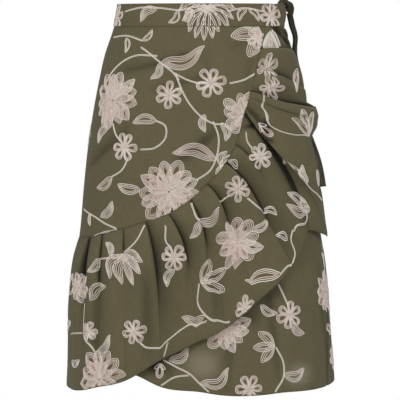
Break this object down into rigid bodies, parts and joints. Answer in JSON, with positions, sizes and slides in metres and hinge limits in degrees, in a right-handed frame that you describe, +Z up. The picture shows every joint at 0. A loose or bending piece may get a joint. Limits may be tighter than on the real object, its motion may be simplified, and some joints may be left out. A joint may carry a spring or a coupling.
{
  "type": "wrap skirt",
  "caption": "Knee-length wrap skirt in olive cloth with vine embroidery, a band tied at the side, and a gathered flounce that cascades down the curved edge of its overlapping front.",
  "frame": {"origin": "middle of the waist, level with the top of the waistband, where the wearer's waist holds the skirt", "axes": "+Z up, -Y out of the front, +X towards the wearer's left hip, where the ties are knotted"},
  "size_m": [0.4122, 0.3072, 0.5853],
  "materials": {
    "cloth": "fine plain-weave cotton, matte, slightly sheer",
    "embroidery": "raised chain-stitch embroidery thread, cream and blush",
    "sewing_thread": "sewing thread matched to the cloth"
  },
  "bodies": {
    "root": {"waistband": "cloth", "overwrap_front": "cloth", "flounce": "cloth", "underwrap_front": "cloth", "back_panel": "cloth", "tie_knot": "cloth", "tie_tail_front": "cloth", "tie_tail_back": "cloth"}
  },
  "joints": []
}
